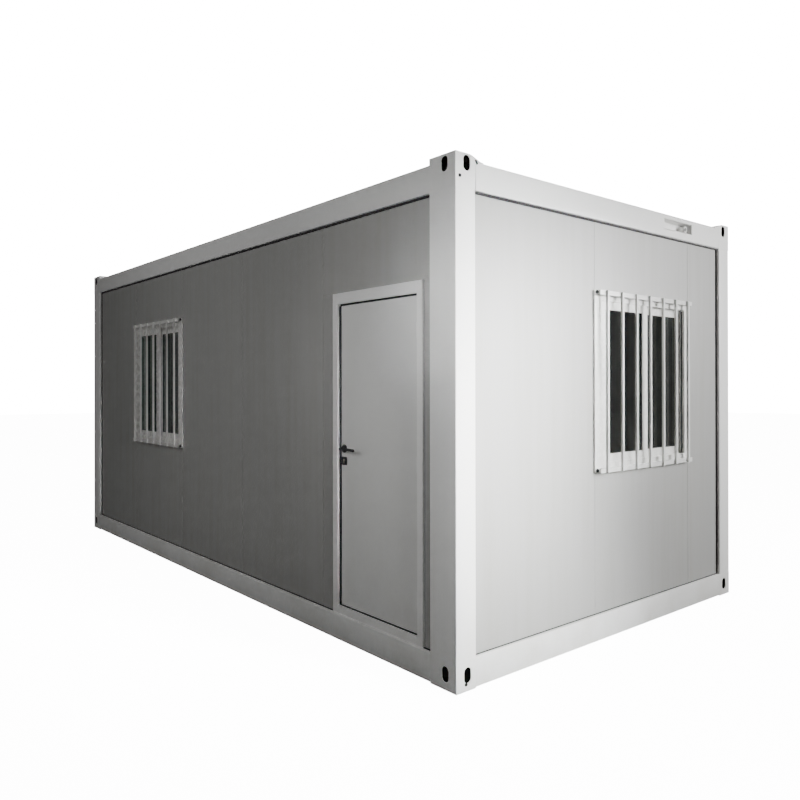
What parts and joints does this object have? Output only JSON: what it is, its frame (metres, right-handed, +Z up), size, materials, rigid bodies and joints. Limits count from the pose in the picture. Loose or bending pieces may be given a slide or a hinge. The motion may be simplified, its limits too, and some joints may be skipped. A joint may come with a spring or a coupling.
{
  "type": "container house",
  "caption": "Flat-pack container house: steel corner-post frame, insulated wall panels, a hinged door with lever handle, and barred sliding windows.",
  "frame": {"origin": "middle of the footprint between the outer faces of the four columns, at the underside of the bottom corner fittings", "axes": "+X along the house towards the end with the door and the power inlet, -Y out of the long side with the door, +Z up"},
  "size_m": [6.085, 3.02, 2.896],
  "materials": {
    "frame_paint": "smooth white-grey powder coat",
    "panel_skin": "coil-coated steel skin, light grey-white",
    "roof_coat": "coil-coated ribbed steel sheet",
    "door_paint": "powder-coated steel skin",
    "bar_paint": "white powder coat on square steel tube",
    "black_metal": "black coated zinc casting",
    "zinc": "hot-dip galvanised",
    "floor_board": "plywood floor board",
    "vinyl": "sheet vinyl, light grey",
    "rubber": "black extruded rubber seal",
    "window_pvc": "white extruded window profile",
    "glass": "clear float glass"
  },
  "bodies": {
    "house": {"bottom_beam_front": "frame_paint", "bottom_beam_back": "frame_paint", "bottom_beam_left": "frame_paint", "bottom_beam_right": "frame_paint", "top_beam_front": "frame_paint", "top_beam_back": "frame_paint", "top_beam_left": "frame_paint", "top_beam_right": "frame_paint", "column_front_left": "frame_paint", "column_front_right": "frame_paint", "column_back_left": "frame_paint", "column_back_right": "frame_paint", "bottom_corner_fittings": "frame_paint", "top_corner_fittings": "frame_paint", "floor_joists": "zinc", "floor_board": "floor_board", "floor_covering": "vinyl", "underfloor_sheet": "zinc", "roof_purlins": "zinc", "roof_sheet": "roof_coat", "ceiling_sheet": "panel_skin", "front_wall_panels": "panel_skin", "front_wall_window_infill": "panel_skin", "front_wall_beside_door": "panel_skin", "front_wall_over_door": "panel_skin", "right_wall_panels": "panel_skin", "right_wall_window_infill": "panel_skin", "back_wall_panels": "panel_skin", "left_wall_panels": "panel_skin", "door_frame": "frame_paint", "door_seal": "rubber", "door_hinge_pins": "frame_paint", "front_window_frame": "window_pvc", "front_window_sashes": "window_pvc", "front_window_glass": "glass", "front_window_bars": "bar_paint", "right_window_frame": "window_pvc", "right_window_sashes": "window_pvc", "right_window_glass": "glass", "right_window_bars": "bar_paint", "power_inlet": "zinc"},
    "door": {"door_leaf": "door_paint", "door_hinge_barrels": "frame_paint", "door_lock_plates": "black_metal"},
    "lever": {"door_lever": "black_metal"}
  },
  "joints": [
    {"name": "door_hinge", "type": "hinge", "parent": "house", "child": "door", "pos_m": [2.687, -1.468, 1.1925], "axis": [0, 0, 1], "range_deg": [0, 100]},
    {"name": "lever_turn", "type": "hinge", "parent": "door", "child": "lever", "pos_m": [1.957, -1.438, 1.237], "axis": [0, 1, 0], "range_deg": [0, 45], "stiffness_Nm_per_rad": 1.2, "springref_deg": -20.05}
  ]
}
